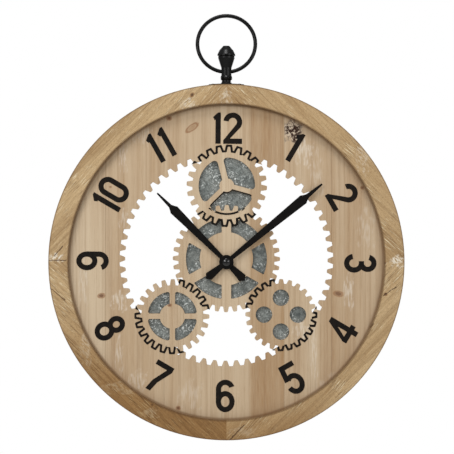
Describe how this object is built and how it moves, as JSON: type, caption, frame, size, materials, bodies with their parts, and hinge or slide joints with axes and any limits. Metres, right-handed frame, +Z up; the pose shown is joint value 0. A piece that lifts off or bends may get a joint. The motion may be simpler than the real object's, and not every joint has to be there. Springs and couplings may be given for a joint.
{
  "type": "wall clock",
  "caption": "Round wooden wall clock whose face is cut out in gear shapes, with black numerals and hands, a turned finial and a ring on top, and a quartz movement behind.",
  "frame": {"origin": "middle of the keyhole's round part, on the wall plane, where the wall screw bears", "axes": "+Y points into the wall, so the face looks along -Y; +X is to the right seen from the front; +Z is up"},
  "size_m": [0.6, 0.04, 0.7225],
  "materials": {
    "rim_wood": "matte, straight grain along each piece, brushed with a thin whitewash",
    "dowel_wood": "plain hardwood",
    "dial_wood": "matte veneer with upright grain",
    "top_gear_wood": "matte veneer with upright grain",
    "centre_gear_wood": "matte veneer with upright grain",
    "left_gear_wood": "matte veneer with upright grain",
    "right_gear_wood": "matte veneer with upright grain",
    "black_print": "thin matte black print",
    "galvanised": "mottled dull zinc coat",
    "zinc_plate": "zinc plated",
    "zinc_screw": "zinc plated",
    "black_metal": "satin black paint",
    "black_screw": "satin black",
    "finial_metal": "black paint, slightly worn",
    "ring_metal": "satin black paint",
    "hand_metal": "painted matte black",
    "cap_gloss": "gloss black",
    "movement_plastic": "fine matte texture",
    "bridge_plastic": "natural plastic",
    "wheel_plastic": "natural plastic",
    "knob_plastic": "matte",
    "magnet_metal": "dull",
    "washer_rubber": "matte",
    "brass_fitting": "turned",
    "soft_iron": "stamped sheet",
    "copper_wire": "enamelled copper windings",
    "board_laminate": "thin laminate",
    "chip_resin": "potted resin drop",
    "can_metal": "bright can",
    "contact_metal": "nickel plated",
    "battery_skin": "plain wrap with bare ends"
  },
  "bodies": {
    "clock_body": {"rim_top_left": "rim_wood", "rim_top_right": "rim_wood", "rim_bottom_right": "rim_wood", "rim_bottom_left": "rim_wood", "joint_dowels": "dowel_wood", "hanger_plate": "zinc_plate", "hanger_screws": "zinc_screw", "finial_base_plate": "black_metal", "base_plate_screws": "black_screw", "finial": "finial_metal", "finial_bolt": "zinc_screw", "dial_ring": "dial_wood", "top_gear": "top_gear_wood", "centre_gear": "centre_gear_wood", "left_gear": "left_gear_wood", "right_gear": "right_gear_wood", "gear_outlines": "black_print", "dial_numerals": "black_print", "panel_screws": "zinc_screw", "top_backing": "galvanised", "centre_backing": "galvanised", "left_backing": "galvanised", "right_backing": "galvanised", "backing_screws": "zinc_screw", "movement_case": "movement_plastic", "movement_cover": "movement_plastic", "gear_bridge": "bridge_plastic", "rubber_washer": "washer_rubber", "mounting_washer": "brass_fitting", "mounting_nut": "brass_fitting", "stator": "soft_iron", "coil_core": "soft_iron", "coil": "copper_wire", "circuit_board": "board_laminate", "drive_chip": "chip_resin", "quartz_crystal": "can_metal", "positive_contact": "contact_metal", "negative_contact": "contact_metal"},
    "hour_body": {"hour_wheel": "wheel_plastic", "hour_hand": "hand_metal"},
    "minute_body": {"centre_wheel": "wheel_plastic", "minute_hand": "hand_metal", "hand_cap": "cap_gloss"},
    "minute_wheel_body": {"minute_wheel": "wheel_plastic"},
    "knob_body": {"setting_knob": "knob_plastic"},
    "third_body": {"third_wheel": "wheel_plastic"},
    "seconds_body": {"seconds_wheel": "wheel_plastic"},
    "fifth_body": {"fifth_wheel": "wheel_plastic"},
    "rotor_body": {"rotor": "magnet_metal"},
    "ring_body": {"bow_ring": "ring_metal"},
    "battery_body": {"battery": "battery_skin"}
  },
  "joints": [
    {"name": "minute_turn", "type": "hinge", "parent": "clock_body", "child": "minute_body", "pos_m": [0, -0.02, -0.285], "axis": [0, 1, 0], "continuous": true},
    {"name": "hour_turn", "type": "hinge", "parent": "clock_body", "child": "hour_body", "pos_m": [0, -0.02, -0.285], "axis": [0, 1, 0], "continuous": true},
    {"name": "minute_wheel_turn", "type": "hinge", "parent": "clock_body", "child": "minute_wheel_body", "pos_m": [-0.0096, -0.02, -0.285], "axis": [0, 1, 0], "continuous": true},
    {"name": "knob_turn", "type": "hinge", "parent": "clock_body", "child": "knob_body", "pos_m": [-0.0192, -0.02, -0.285], "axis": [0, 1, 0], "continuous": true},
    {"name": "third_turn", "type": "hinge", "parent": "clock_body", "child": "third_body", "pos_m": [0.00935, -0.02, -0.2796], "axis": [0, 1, 0], "continuous": true},
    {"name": "seconds_turn", "type": "hinge", "parent": "clock_body", "child": "seconds_body", "pos_m": [0, -0.02, -0.285], "axis": [0, 1, 0], "continuous": true},
    {"name": "fifth_turn", "type": "hinge", "parent": "clock_body", "child": "fifth_body", "pos_m": [-0.00543, -0.02, -0.2756], "axis": [0, 1, 0], "continuous": true},
    {"name": "rotor_turn", "type": "hinge", "parent": "clock_body", "child": "rotor_body", "pos_m": [-0.00955, -0.02, -0.26971], "axis": [0, 1, 0], "continuous": true},
    {"name": "ring_swing", "type": "hinge", "parent": "clock_body", "child": "ring_body", "pos_m": [0, -0.02, 0.03705], "axis": [1, 0, 0], "range_deg": [0, 144]},
    {"name": "battery_slide", "type": "slide", "parent": "clock_body", "child": "battery_body", "axis": [0, 1, 0], "range_m": [0, 0.03]}
  ],
  "couplings": [
    {"joint": "hour_turn", "follows": "minute_turn", "ratio": 0.083333},
    {"joint": "minute_wheel_turn", "follows": "minute_turn", "ratio": -0.33333},
    {"joint": "knob_turn", "follows": "minute_turn", "ratio": 1},
    {"joint": "third_turn", "follows": "minute_turn", "ratio": -8},
    {"joint": "seconds_turn", "follows": "minute_turn", "ratio": 60},
    {"joint": "fifth_turn", "follows": "minute_turn", "ratio": -360},
    {"joint": "rotor_turn", "follows": "minute_turn", "ratio": 1800}
  ]
}
